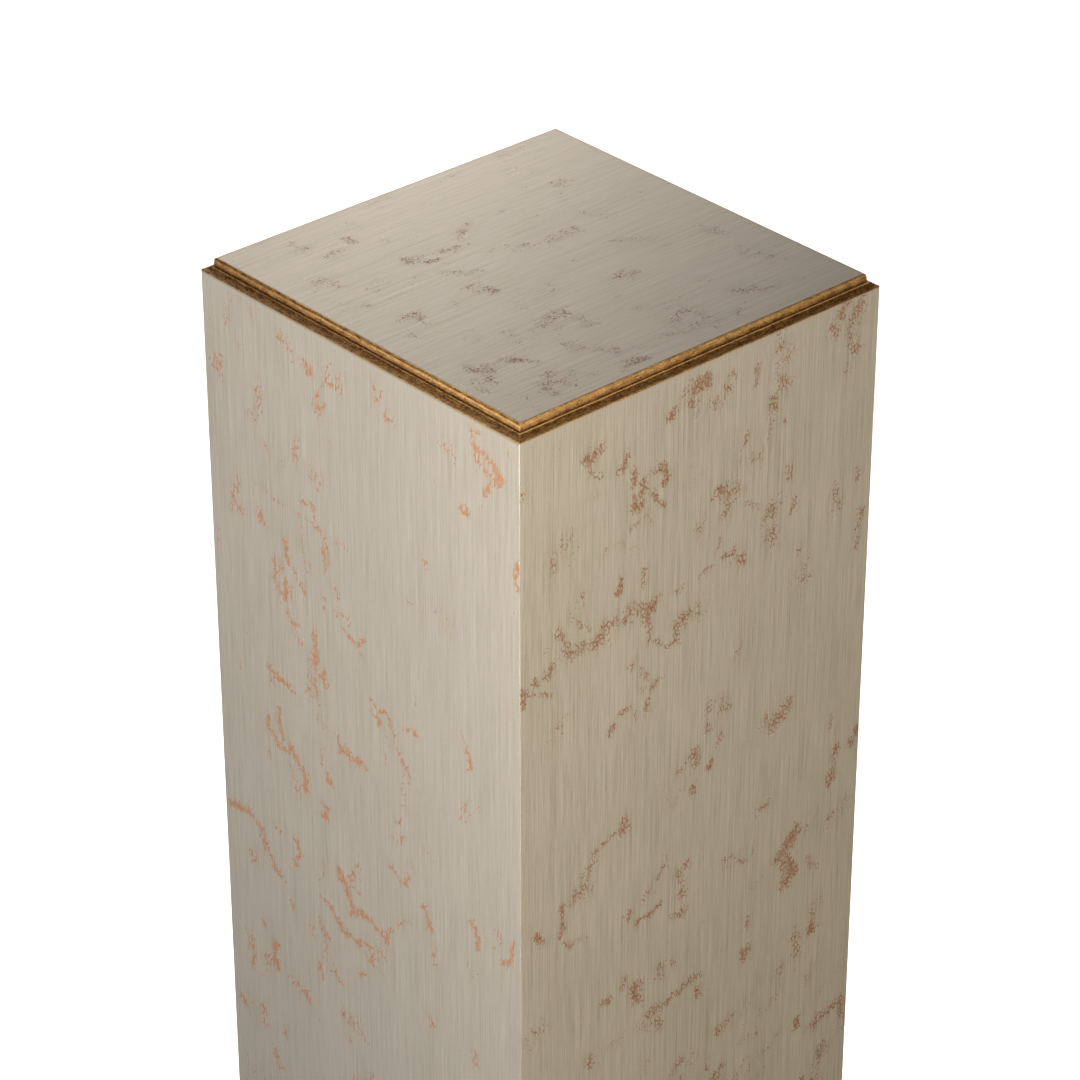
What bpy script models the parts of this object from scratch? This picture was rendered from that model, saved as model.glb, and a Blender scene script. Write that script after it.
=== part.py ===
"""A square display pedestal: a hollow box of mitred boards with a gilded moulding round its top.

Metres, +Z up. The origin lies on the floor, at the centre of the base, and the front faces -Y.
"""

import math

import bmesh
import bpy
from mathutils import Matrix

# The box
BODY_WIDTH = 0.305          # over the outer faces of the sides
TOTAL_HEIGHT = 1.067        # floor to display surface
SIDE_THICKNESS = 0.018
TOP_THICKNESS = 0.018
CORNER_RADIUS = 0.001       # softening of the upright corners
JOINT_GAP = 0.0003          # hairline left at every glued joint

# The moulding's members, from the body's face inwards and from the rim upwards
RIM_RADIUS = 0.0011         # rounded lip, flush with the body's face
HOLLOW_WIDTH = 0.0035       # shallow hollow that rises behind the lip
HOLLOW_RISE = 0.0018
HOLLOW_DEPTH = 0.00035      # sag of the hollow below a straight slope
FILLET_WIDTH = 0.0014       # flat ledge between the hollow and the bead
FILLET_HEIGHT = 0.0006
BEAD_WIDTH = 0.0015         # bead round the edge of the display surface
BEAD_HEIGHT = 0.0055
BEAD_FOOT_RADIUS = 0.0005   # tuck of the bead's foot onto the fillet
BEAD_FULLNESS = 2.5         # 2 is an ellipse, more is squarer

ARC_STEPS = 6               # straight steps in each rounded stretch of an outline

# Colours are linear RGB
SILVER = (0.43, 0.40, 0.33)
GILT = (0.38, 0.19, 0.05)

# Sizes that follow from the ones above
MOULDING_WIDTH = RIM_RADIUS + HOLLOW_WIDTH + FILLET_WIDTH + BEAD_WIDTH
MOULDING_HEIGHT = RIM_RADIUS + HOLLOW_RISE + FILLET_HEIGHT + BEAD_HEIGHT
RIM_LEVEL = TOTAL_HEIGHT - MOULDING_HEIGHT      # underside of the moulding and of the top's shoulder
SIDE_HEIGHT = RIM_LEVEL - JOINT_GAP
MITRE_SETBACK = JOINT_GAP / math.sqrt(2)        # each mitred end stands back by this along its length
PIECE_LENGTH = BODY_WIDTH - 2 * MITRE_SETBACK   # a side or a moulding, at the body's face
SIDES = ("front", "right", "back", "left")      # in the order of quarter turns about +Z


def clear_scene():
    """Removes whatever objects the open file holds."""
    for old in list(bpy.data.objects):
        bpy.data.objects.remove(old, do_unlink=True)


def make_collection(name):
    """A new collection in the scene."""
    collection = bpy.data.collections.new(name)
    bpy.context.scene.collection.children.link(collection)
    return collection


def make_material(name, colour, roughness, metallic):
    """A plain Principled material."""
    material = bpy.data.materials.new(name)
    material.use_nodes = True
    shader = material.node_tree.nodes["Principled BSDF"]
    shader.inputs["Base Color"].default_value = (*colour, 1.0)
    shader.inputs["Roughness"].default_value = roughness
    shader.inputs["Metallic"].default_value = metallic
    return material


def curved_points(start, end, point_at):
    """Points of point_at(value) from start to end, both ends included."""
    return [point_at(start + (end - start) * step / ARC_STEPS) for step in range(ARC_STEPS + 1)]


def side_outline():
    """A side's cross-section seen from above: x along its outer face, y into the box."""
    half = PIECE_LENGTH / 2

    def corner(angle):
        return (
            half - CORNER_RADIUS + CORNER_RADIUS * math.cos(angle),
            CORNER_RADIUS + CORNER_RADIUS * math.sin(angle),
        )

    right = curved_points(-math.pi / 2, -math.pi / 4, corner)
    right.append((half - SIDE_THICKNESS, SIDE_THICKNESS))
    left = [(-x, y) for x, y in reversed(right)]
    return right + left


def rim_point(angle):
    """The rounded lip: angle runs from pi at the body's face to pi/2 at the lip's top."""
    return (RIM_RADIUS + RIM_RADIUS * math.cos(angle), RIM_RADIUS * math.sin(angle))


def hollow_point(share):
    """The shallow hollow, from the lip's top at 0 to the fillet's foot at 1."""
    sag = 4 * HOLLOW_DEPTH * share * (1 - share)
    return (RIM_RADIUS + HOLLOW_WIDTH * share, RIM_RADIUS + HOLLOW_RISE * share - sag)


def bead_foot_point(angle):
    """The bead's underside: angle runs from 3/2 pi on the fillet to pi at the bead's face."""
    face = MOULDING_WIDTH - BEAD_WIDTH
    base = MOULDING_HEIGHT - BEAD_HEIGHT
    return (
        face + BEAD_FOOT_RADIUS + BEAD_FOOT_RADIUS * math.cos(angle),
        base + BEAD_FOOT_RADIUS + BEAD_FOOT_RADIUS * math.sin(angle),
    )


def bead_top_point(angle):
    """The bead's face and crown: angle runs from 0 at its widest to pi/2 at the display surface."""
    out = math.cos(angle) ** (2 / BEAD_FULLNESS)
    up = math.sin(angle) ** (2 / BEAD_FULLNESS)
    widest = MOULDING_HEIGHT - BEAD_HEIGHT + BEAD_FOOT_RADIUS
    return (MOULDING_WIDTH - BEAD_WIDTH * out, widest + (MOULDING_HEIGHT - widest) * up)


def moulding_outline():
    """The moulding's profile: x in from the body's face, y up from the rim."""
    fillet_x = RIM_RADIUS + HOLLOW_WIDTH
    fillet_top = RIM_RADIUS + HOLLOW_RISE + FILLET_HEIGHT
    points = curved_points(math.pi, math.pi / 2, rim_point)
    points += curved_points(0.0, 1.0, hollow_point)[1:]
    points.append((fillet_x, fillet_top))
    points += curved_points(1.5 * math.pi, math.pi, bead_foot_point)
    points += curved_points(0.0, math.pi / 2, bead_top_point)[1:]
    points[-1] = (MOULDING_WIDTH, MOULDING_HEIGHT)
    points.append((MOULDING_WIDTH, 0.0))
    return points


def extruded_mesh(name, outline, length):
    """A closed mesh: the outline in local x and y, extruded evenly to both sides along z."""
    curve = bpy.data.curves.new(name, "CURVE")
    curve.dimensions = "2D"
    curve.fill_mode = "BOTH"
    curve.extrude = length / 2
    spline = curve.splines.new("POLY")
    spline.points.add(len(outline) - 1)
    for point, (x, y) in zip(spline.points, outline):
        point.co = (x, y, 0.0, 1.0)
    spline.use_cyclic_u = True
    holder = bpy.data.objects.new(name, curve)
    bpy.context.scene.collection.objects.link(holder)
    bpy.context.view_layer.update()
    evaluated = holder.evaluated_get(bpy.context.evaluated_depsgraph_get())
    mesh = bpy.data.meshes.new_from_object(evaluated)
    mesh.name = name
    bpy.data.objects.remove(holder, do_unlink=True)
    bpy.data.curves.remove(curve)
    weld_and_face_outwards(mesh)
    return mesh


def weld_and_face_outwards(mesh):
    """Joins the extrusion's loose caps to its walls and turns every face outwards."""
    work = bmesh.new()
    work.from_mesh(mesh)
    bmesh.ops.remove_doubles(work, verts=work.verts, dist=0.000001)
    bmesh.ops.recalc_face_normals(work, faces=work.faces)
    work.to_mesh(mesh)
    work.free()


def mitre_ends(mesh):
    """Cuts both ends at 45 degrees: each end point moves in by its distance from the body's face."""
    for vertex in mesh.vertices:
        inset = vertex.co.x
        half = PIECE_LENGTH / 2 - inset
        vertex.co.z = math.copysign(half, vertex.co.z)


def top_mesh():
    """The top board: a slab with a shoulder on the sides and a tongue that drops between them."""
    slab_width = BODY_WIDTH - 2 * (MOULDING_WIDTH + JOINT_GAP)
    tongue_width = BODY_WIDTH - 2 * (SIDE_THICKNESS + JOINT_GAP)
    tongue_depth = TOP_THICKNESS - MOULDING_HEIGHT
    work = bmesh.new()
    bmesh.ops.create_cube(work, size=1.0)
    bmesh.ops.scale(work, vec=(slab_width, slab_width, MOULDING_HEIGHT), verts=work.verts)
    underside = min(work.faces, key=lambda face: face.calc_center_median().z)
    shoulder = (slab_width - tongue_width) / 2
    bmesh.ops.inset_region(work, faces=[underside], thickness=shoulder, use_even_offset=True)
    grown = bmesh.ops.extrude_discrete_faces(work, faces=[underside])["faces"][0]
    bmesh.ops.translate(work, vec=(0.0, 0.0, -tongue_depth), verts=grown.verts)
    bmesh.ops.recalc_face_normals(work, faces=work.faces)
    mesh = bpy.data.meshes.new("top")
    work.to_mesh(mesh)
    work.free()
    return mesh


def add_object(name, mesh, material, matrix, parent, collection):
    """One named piece, placed by its matrix under the parent."""
    piece = bpy.data.objects.new(name, mesh)
    collection.objects.link(piece)
    piece.parent = parent
    piece.matrix_world = matrix
    if not mesh.materials:
        mesh.materials.append(material)
    return piece


def add_all_round(kind, mesh, place, material, parent, collection):
    """Four pieces that share a mesh: the front one's place, turned in quarter turns about +Z."""
    for turn, side in enumerate(SIDES):
        spin = Matrix.Rotation(turn * math.pi / 2, 4, "Z")
        add_object(side + "_" + kind, mesh, material, spin @ place, parent, collection)


def add_sides(material, parent, collection):
    """Four mitred sides that stand on the floor."""
    mesh = extruded_mesh("side", side_outline(), SIDE_HEIGHT)
    place = Matrix.Translation((0.0, -BODY_WIDTH / 2, SIDE_HEIGHT / 2))
    add_all_round("panel", mesh, place, material, parent, collection)


def add_mouldings(material, parent, collection):
    """Four mitred lengths of moulding on the sides' top edges, against the top board's edge."""
    mesh = extruded_mesh("moulding", moulding_outline(), PIECE_LENGTH)
    mitre_ends(mesh)
    lie_along_x = Matrix(((0, 0, 1, 0), (1, 0, 0, 0), (0, 1, 0, 0), (0, 0, 0, 1)))
    place = Matrix.Translation((0.0, -BODY_WIDTH / 2, RIM_LEVEL)) @ lie_along_x
    add_all_round("moulding", mesh, place, material, parent, collection)


def add_top(material, parent, collection):
    """The display surface: the top board, flush with the moulding's crest."""
    place = Matrix.Translation((0.0, 0.0, TOTAL_HEIGHT - MOULDING_HEIGHT / 2))
    add_object("top_panel", top_mesh(), material, place, parent, collection)


def main():
    clear_scene()
    collection = make_collection("display_pedestal")
    base = bpy.data.objects.new("base_centre", None)
    collection.objects.link(base)
    silver = make_material("silver_leaf", SILVER, roughness=0.45, metallic=0.6)
    gilt = make_material("antique_gilt", GILT, roughness=0.42, metallic=0.8)
    add_sides(silver, base, collection)
    add_top(silver, base, collection)
    add_mouldings(gilt, base, collection)
    bpy.context.view_layer.update()


main()
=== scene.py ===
"""The looks of the display pedestal: worn silver leaf over red clay, and an antique gilt moulding.

Metres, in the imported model's frame: +Z up, the front faces -Y and the right side +X.
"""

import math

import bmesh
import bpy
import numpy as np
from mathutils import Matrix, Vector, noise


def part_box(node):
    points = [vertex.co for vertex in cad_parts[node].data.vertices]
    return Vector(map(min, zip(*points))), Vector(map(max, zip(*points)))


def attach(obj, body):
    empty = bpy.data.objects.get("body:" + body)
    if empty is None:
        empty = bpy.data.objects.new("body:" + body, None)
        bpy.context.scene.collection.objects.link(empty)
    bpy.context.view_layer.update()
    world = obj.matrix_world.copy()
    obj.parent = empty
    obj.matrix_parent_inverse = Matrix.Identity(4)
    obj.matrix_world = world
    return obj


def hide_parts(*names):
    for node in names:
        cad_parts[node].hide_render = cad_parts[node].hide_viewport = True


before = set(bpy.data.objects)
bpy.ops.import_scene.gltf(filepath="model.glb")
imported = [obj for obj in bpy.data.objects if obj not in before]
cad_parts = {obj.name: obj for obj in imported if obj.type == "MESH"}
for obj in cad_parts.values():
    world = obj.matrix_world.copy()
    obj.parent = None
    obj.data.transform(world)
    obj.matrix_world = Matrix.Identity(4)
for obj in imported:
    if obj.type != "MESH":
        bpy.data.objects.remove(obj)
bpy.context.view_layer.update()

panel_low, panel_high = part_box("front_panel")
moulding_low, moulding_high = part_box("front_moulding")
board_low, board_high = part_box("top_panel")

MM = 0.001
X, Y, Z = range(3)

# The box, as the frame has it
HALF_WIDTH = -moulding_low.y  # centre to the sides' outer faces
SIDE_THICKNESS = panel_high.y - panel_low.y
RIM_LEVEL = moulding_low.z  # underside of the moulding
TOP_LEVEL = moulding_high.z  # display surface
BOARD_HALF = board_high.x  # display surface, centre to edge
BOARD_UNDERSIDE = board_low.z
MOULDING_WIDTH = moulding_high.y - moulding_low.y
MOULDING_HEIGHT = TOP_LEVEL - RIM_LEVEL
SIDES = ("front", "right", "back", "left")  # in the order of quarter turns about +Z

# The moulding's members, which the bead completes
RIM_RADIUS = 1.1 * MM
HOLLOW_WIDTH = 3.5 * MM
HOLLOW_RISE = 1.8 * MM
HOLLOW_DEPTH = 0.35 * MM
FILLET_WIDTH = 1.4 * MM
FILLET_HEIGHT = 0.6 * MM
BEAD_FOOT_RADIUS = 0.5 * MM
BEAD_BACK_RADIUS = 0.15 * MM  # softening of the bead against the display surface
BEAD_FULLNESS = 2.5  # 2 is an ellipse, more is squarer
FILLET_SOFTNESS = 0.08 * MM  # of the fillet's arris
BEAD_WIDTH = MOULDING_WIDTH - RIM_RADIUS - HOLLOW_WIDTH - FILLET_WIDTH
BEAD_HEIGHT = MOULDING_HEIGHT - RIM_RADIUS - HOLLOW_RISE - FILLET_HEIGHT

# How bright the gilt is along each member, its rubbing and patina together with painted highlights and
# painted shade, from its lower or outer end at 0 to its upper or inner end at 1
# the lip lightens towards its lower edge, a painted highlight
RIM_TONE_AND_SHEEN = ((0.0, 0.6), (0.25, 0.5), (0.6, 0.42), (1.0, 0.38))
# the hollow darkens towards the fillet with patina and painted shade
HOLLOW_PATINA_AND_SHADE = ((0.0, 0.44), (0.25, 0.34), (0.55, 0.2), (0.85, 0.13), (1.0, 0.2))
# Bead brightness: a rubbed crest plus painted highlight lines, in one copy for the front and left and one for
# the right and back
FRONT_BEAD_RUB_AND_SHEEN = ((0.0, 0.3), (0.1, 0.3), (0.2, 0.34), (0.3, 0.42), (0.42, 0.56), (0.53, 0.76), (0.62, 0.95),
              (0.7, 0.75), (0.76, 0.3), (0.84, 0.16), (0.93, 0.3), (1.0, 0.95))
RIGHT_BEAD_RUB_AND_SHEEN = ((0.0, 0.18), (0.1, 0.18), (0.2, 0.26), (0.3, 0.36), (0.42, 0.48), (0.53, 0.6), (0.65, 0.72),
              (0.76, 0.84), (0.9, 0.74), (1.0, 0.7))
BEAD_RUB_AND_SHEEN = {"front": FRONT_BEAD_RUB_AND_SHEEN, "right": RIGHT_BEAD_RUB_AND_SHEEN, "back": RIGHT_BEAD_RUB_AND_SHEEN, "left": FRONT_BEAD_RUB_AND_SHEEN}
# the fillet's gilt with a painted highlight on its arris, strongest on the right side
FILLET_TONE_AND_SHEEN = {"front": 0.38, "right": 0.95, "back": 0.6, "left": 0.5}
MITRE_HIGHLIGHT_REACH = 1.2 * MM  # how far the painted highlight at the mitres reaches
# brightening of the gilt at the mitres, a painted highlight
MITRE_HIGHLIGHT = 1.35
FILLET_EDGE = 0.8  # of the fillet's brightness beside its arris, which leaves a painted highlight line along the arris
FILLET_RISER = 0.45 * MM  # how far below the arris it has dulled to that
FILLET_FLAT = 0.5 * MM  # and how far in from it
RECESS_PATINA_AND_SHADE = 0.12  # under the bead: patina and painted shade
# the crest's inner edge: rubbed gilt with a painted highlight line
CREST_RUB_AND_SHEEN = 0.9
HIDDEN_GILDING = 0.1
FAR_PAINTED_SHADE = {"front": 0.42, "right": 0.3, "back": 0.0, "left": 0.0}  # painted shade: the gilt darkens away from the front corner

# The meshes' fineness
CORNER_RADIUS = 0.5 * MM
CORNER_STEPS = 6
EDGE_SOFTNESS = 0.05 * MM  # worn arris at the floor and round the display surface
GRID_ACROSS = 1.5 * MM  # spacing of the points that carry the wear
GRID_DOWN = 2.7 * MM
TOP_GRID = 2.0 * MM
MOULDING_STEP = 5.0 * MM
ARC_STEPS = 10
BACK_STEPS = 4
SMOOTH_ANGLE = 35.0  # degrees: sharper arrises stay sharp
PATTERN_STEP = 10.0  # keeps the noise of each piece apart

# The rubbed trails
RAGGED_STEP = 9.0 * MM  # how far apart the bends of a trail's edge are
RAGGED_REACH = 3.0 * MM
RAGGED_SEED = 1  # without one, these bends differ from run to run
NET_REACH = 1.4  # how far a trail's cracks reach, as a multiple of its width
NARROW_TRAIL = 3.6  # millimetres: narrower trails are also drawn as strokes
FAR_FROM_STROKES = 6.0 * MM
ORANGE_STROKES = 0.46  # a stroke's half width, as a share of its trail's width times its strength
BROWN_STROKES = 0.33
STROKE_THINNING = 0.45  # millimetres off that half width
SHORTEST_RUN = 1e-9  # its length squared, so that nothing is divided by zero
TOP_FAINTNESS = 0.8
PICTURE = 1080.0  # the photograph's width in pixels

# The small trails that are scattered between them and on the sides that face away
SCATTER_SPREAD = 30.0  # degrees about the face's own lean
SCATTER_LENGTHS = (3 * MM, 22 * MM)
SCATTER_WIDTHS = (2.0, 7.0)  # millimetres
SCATTER_STRENGTHS = (0.5, 1.0)
WHOLE_SIDE = (-0.15, 0.15, 0.005, 1.05)  # metres: across from and to, then down from and to
LOWER_SIDE = (-0.15, 0.15, 0.52, 1.05)
WHOLE_TOP = (-0.14, 0.14, -0.14, 0.14)

# Each as its seed, how many, where, lean in degrees and strength
SCATTERED = {
    "front": ((1, 60, WHOLE_SIDE, 20.0, 0.6), (2, 110, LOWER_SIDE, 20.0, 1.1)),
    "right": ((3, 90, WHOLE_SIDE, -40.0, 0.7), (4, 110, LOWER_SIDE, -40.0, 1.1)),
    "back": ((5, 230, WHOLE_SIDE, -40.0, 1.1),),
    "left": ((6, 210, WHOLE_SIDE, 20.0, 1.1),),
    "top": ((7, 50, WHOLE_TOP, 0.0, 0.6),),
}

# Brush marks from hair-fine scratches to broad bands: size across, size along, lean in degrees and strength
BRUSH_MARKS = (
    (0.75 * MM, 60 * MM, 0.0, 0.22),
    (1.4 * MM, 160 * MM, 0.4, 0.09),
    (1.1 * MM, 14 * MM, 0.0, 0.07),
    (3.0 * MM, 300 * MM, -0.3, 0.045),
    (8 * MM, 500 * MM, 0.0, 0.03),
    (28 * MM, 900 * MM, 0.0, 0.03),
    (1.8 * MM, 30 * MM, 3.0, 0.04),
    (1.2 * MM, 2.0 * MM, 0.0, 0.05),
    (60 * MM, 110 * MM, 0.0, 0.04),
)

# How the leaf breaks, measured in cells of the net of cracks
NET_CRUMPLING = 0.9
FIRST_CRACKS = 0.2  # the rubbing at which cracks open
THICKEST_CRACK = 0.4
CRACK_BLUR = 0.03
FIRST_SOLID = 0.42  # the rubbing at which whole pieces come away

# The finishes
METALLIC = 0.2  # of leaf and gilding, which are toned and waxed
LEAF_ROUGHNESS = 0.5
GILT_ROUGHNESS = 0.55
GILT_SPECULAR = 0.12
FINISH_DEPTH = 0.05 * MM  # of the marks and blotches

# Colours are linear RGB
SILVER = (0.475, 0.42, 0.34)
TOP_SILVER = (0.478, 0.406, 0.321)
WASH = (0.43, 0.36, 0.262)
# brown stain, also painting a thin shadow under the moulding
STAIN_AND_RIM_SHADOW = (0.27, 0.205, 0.12)
ORANGE_STAIN = (0.42, 0.29, 0.18)
WAX = (0.36, 0.27, 0.14)
CLAY_ORANGE = (0.42, 0.185, 0.085)
CLAY_BROWN = (0.27, 0.11, 0.05)
CLAY_DARK = (0.25, 0.09, 0.045)
# pale rubbed arris, also a painted highlight near the top
ARRIS_WEAR_AND_HIGHLIGHT = (0.66, 0.62, 0.53)
GOLD = (0.66, 0.38, 0.138)
# pale rubbed gold, also a painted highlight on the brightest gilt
GOLD_RUB_AND_GLINT = (0.86, 0.66, 0.38)
# dark wax in the recesses, which also paints their shade
PATINA_AND_SHADE = (0.078, 0.026, 0.005)
BARE_WOOD = (0.42, 0.28, 0.16)
BARE_WOOD_DARK = (0.30, 0.18, 0.095)
FLOOR = (0.82, 0.82, 0.82)
WHITE = (1.0, 1.0, 1.0)
BLACK = (0.0, 0.0, 0.0)

# The stage
FLOOR_HALF = 30.0
BACKDROP_RADIUS = 28.0
FLOOR_LIGHT = 4.5
FLOOR_LIGHT_SPREAD = math.radians(120.0)
STUDIO_LIGHT = 0.015

# The camera, from the centre of the rim
CAMERA_OFFSET = Vector((1.7263, -1.5483, 1.1797))
CAMERA_YAW = math.radians(48.098)
CAMERA_TILT = math.radians(30.620)  # below the horizon
CAMERA_LENS = 136.46
CAMERA_SENSOR = 36.0

# Soft lights aimed at the display surface: degrees round from the front towards the right, degrees above the
# surface or, with a minus, below it, metres away, size in metres, power in watts and colour. The last two are
# for the sides that face away.
SOFTBOXES = (
    ("front", 0, -12, 2.2, 0.9, 15.7, (0.95, 1.0, 1.11)),
    ("front_right", 35, 8, 1.2, 0.6, 16.5, (1.0, 0.98, 0.94)),
    ("right", 95, -12, 2.2, 0.9, 15.0, (1.12, 1.0, 0.79)),
    ("behind_left", 228, 15, 1.2, 0.6, 3.1, (1.02, 1.0, 0.96)),
    ("left_high", 250, 30, 0.8, 0.6, 3.0, (1.02, 1.0, 0.95)),
    ("back", 180, -14, 2.2, 1.2, 36.0, WHITE),
    ("left", 270, -14, 2.2, 1.2, 29.0, WHITE),
)

# Rubbed trails, listed one by one: width in millimetres, strength, and the places in the photograph that
# the trail passes through. The camera's rays carry them onto the box.
FRONT_TRAILS = (
    (3, 0.7, (229, 300), (227, 311), (227, 324)), (3, 0.7, (249, 310), (251, 321)),
    (3, 0.6, (235, 338), (241, 347)), (5, 0.9, (281, 338), (286, 345)),
    (5, 0.9, (221, 359), (217, 364), (218, 371)), (2, 0.9, (254, 375), (257, 375)),
    (2, 0.7, (291, 361), (302, 359)), (3, 1.1, (303, 360), (307, 366), (311, 375)),
    (4, 0.8, (329, 364), (327, 371), (333, 380), (343, 379), (340, 391)),
    (2, 0.9, (333, 382), (323, 384), (316, 391)), (4, 0.95, (318, 398), (316, 408), (319, 413), (323, 406)),
    (4, 0.8, (257, 392), (259, 408), (252, 415)), (2, 0.9, (263, 444), (269, 453)),
    (2, 0.8, (361, 366), (363, 372)), (5, 0.8, (375, 386), (379, 392), (375, 396)),
    (3, 0.8, (385, 410), (383, 416), (391, 421)), (4, 0.9, (297, 442), (293, 452), (296, 462)),
    (3, 0.6, (285, 450), (291, 458)), (2, 0.8, (329, 440), (335, 453)),
    (5, 0.75, (308, 466), (313, 476), (323, 481)), (2, 0.9, (320, 482), (319, 492)),
    (4, 1.0, (239, 480), (234, 494), (233, 506), (241, 510)), (3, 1.0, (260, 511), (262, 520)),
    (2, 1.1, (265, 524), (266, 528)),
    (2, 0.8, (265, 492), (270, 498), (287, 506), (303, 518), (313, 525), (319, 530)),
    (2.5, 1.0, (303, 500), (313, 510), (314, 518), (321, 532)),
    (2, 1.1, (325, 534), (324, 550), (325, 574)), (2, 0.8, (327, 543), (329, 564)),
    (2, 1.0, (324, 598), (324, 612)), (2, 0.7, (331, 544), (343, 542), (350, 553)),
    (3.5, 1.2, (284, 539), (285, 548), (290, 561)), (4, 0.9, (283, 560), (279, 570)),
    (3, 1.1, (276, 561), (273, 577), (277, 587), (282, 593)),
    (3, 1.0, (294, 569), (297, 577), (301, 583), (304, 590)), (3, 1.2, (286, 582), (285, 592), (285, 602)),
    (3, 0.9, (292, 590), (292, 600)), (2.5, 1.1, (331, 586), (336, 592), (339, 599)),
    (2.5, 1.0, (335, 612), (341, 614), (348, 620), (349, 625)),
    (2.5, 1.1, (344, 630), (348, 637), (356, 643), (364, 640)), (2.5, 0.9, (359, 644), (361, 656)),
    (3, 1.1, (287, 614), (291, 622), (299, 625)), (3, 0.7, (291, 633), (299, 637), (299, 645)),
    (3.5, 1.1, (314, 633), (317, 642), (318, 655), (316, 664)), (6, 0.8, (311, 660), (313, 690)),
    (3.5, 1.1, (324, 669), (322, 678), (325, 684)), (3, 1.1, (315, 680), (317, 694)),
    (2.5, 1.1, (267, 665), (278, 675), (294, 692)), (4, 0.8, (270, 678), (280, 682)),
    (2.5, 0.9, (471, 428), (480, 433)), (3.5, 1.0, (474, 443), (477, 450), (487, 456), (490, 463)),
    (3.5, 1.3, (493, 462), (495, 472), (501, 480), (497, 483)), (2.5, 1.1, (491, 483), (484, 492)),
    (2, 0.9, (484, 468), (485, 478)), (8, 0.6, (474, 450), (490, 475)), (3, 1.1, (463, 509), (468, 515)),
    (2, 0.8, (479, 504), (477, 511)), (2.5, 1.0, (505, 451), (511, 457)), (5, 0.6, (436, 610), (452, 627)),
    (2, 1.3, (517, 565), (517, 590)), (2.5, 0.8, (315, 692), (320, 704)),
    (3, 1.1, (278, 710), (280, 724), (283, 737)), (3, 1.1, (268, 714), (268, 728), (278, 742), (287, 750)),
    (3.5, 1.2, (292, 750), (300, 764), (306, 776), (306, 790)), (2.5, 0.9, (289, 765), (292, 774)),
    (4, 0.9, (296, 786), (299, 798)), (3, 0.8, (267, 748), (270, 753)), (2, 0.9, (322, 746), (323, 764)),
    (2.5, 1.1, (327, 776), (334, 788)), (3, 1.1, (322, 802), (329, 810), (324, 818), (328, 822)),
    (2, 0.7, (321, 720), (326, 727)), (3, 1.1, (337, 738), (339, 748), (348, 754), (358, 762), (366, 769)),
    (2.5, 0.8, (346, 748), (354, 770)), (2, 1.1, (371, 699), (376, 708), (388, 714)),
    (3, 1.1, (373, 714), (378, 720), (379, 726)), (2.5, 1.1, (387, 716), (392, 728), (394, 738)),
    (5, 0.8, (393, 744), (399, 754)), (2, 0.7, (383, 754), (385, 764)),
    (2.5, 1.0, (402, 762), (406, 770), (408, 780)), (3.5, 0.9, (404, 731), (410, 727), (416, 734)),
    (2, 1.1, (463, 736), (467, 752), (472, 770)), (3, 1.2, (469, 758), (471, 766)),
    (4, 0.8, (466, 804), (463, 820)), (2, 0.8, (478, 806), (478, 811)), (2, 1.0, (393, 820), (402, 820)),
    (2.5, 1.0, (394, 838), (400, 843), (404, 838)), (2.5, 0.8, (425, 850), (430, 856), (437, 862)),
    (3.5, 1.2, (230, 802), (244, 808), (250, 812)), (3.5, 1.0, (250, 812), (260, 826), (264, 832)),
    (4, 1.1, (264, 838), (268, 850), (274, 864), (282, 876)), (5, 0.9, (252, 850), (256, 860)),
    (2.5, 0.9, (276, 826), (283, 834)), (3, 1.1, (297, 842), (300, 854), (295, 862)),
    (2, 1.0, (323, 862), (324, 876)), (2, 0.7, (312, 868), (318, 878)),
    (2.5, 0.9, (288, 890), (292, 902), (294, 910)),
    (3.5, 1.3, (338, 870), (344, 882), (348, 894), (351, 906)), (5, 0.8, (356, 868), (350, 878)),
    (2.5, 1.0, (352, 886), (360, 894)), (3, 1.1, (351, 912), (360, 912), (370, 920), (377, 929)),
    (3, 1.1, (382, 934), (390, 930), (386, 942)), (2.5, 0.8, (398, 926), (406, 922), (414, 924)),
    (3, 1.2, (324, 898), (336, 916), (346, 932), (358, 942), (370, 946)),
    (2, 1.1, (358, 944), (368, 958), (378, 968), (386, 980)), (6, 0.8, (374, 958), (382, 950)),
    (3, 0.9, (392, 866), (396, 876), (404, 884), (408, 874)), (2, 0.7, (410, 862), (416, 878), (420, 888)),
    (3, 1.2, (423, 906), (426, 916), (430, 928)), (3, 1.2, (473, 924), (478, 936), (479, 948)),
    (2, 0.9, (490, 944), (493, 948)), (2, 1.3, (514, 941), (512, 952), (510, 960), (503, 964)),
    (2.5, 1.0, (436, 950), (434, 958), (436, 964)), (4, 0.9, (310, 924), (315, 934)),
    (4, 1.0, (322, 922), (327, 940)), (4, 0.9, (325, 948), (326, 956)), (3, 1.0, (320, 962), (322, 978)),
    (4, 1.0, (334, 970), (340, 980)), (3, 1.1, (358, 974), (364, 974)),
    (3.5, 1.3, (277, 944), (274, 956), (278, 966)), (3, 1.1, (254, 956), (254, 966)),
    (5, 0.8, (266, 956), (268, 972)), (2.5, 1.0, (264, 920), (265, 928)), (5, 0.8, (250, 932), (252, 948)),
    (5, 0.6, (470, 970), (472, 978)), (4, 0.9, (432, 1018), (433, 1026)),
    (4, 0.9, (474, 1054), (476, 1066)), (4, 1.0, (275, 1048), (278, 1062)),
)
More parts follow.
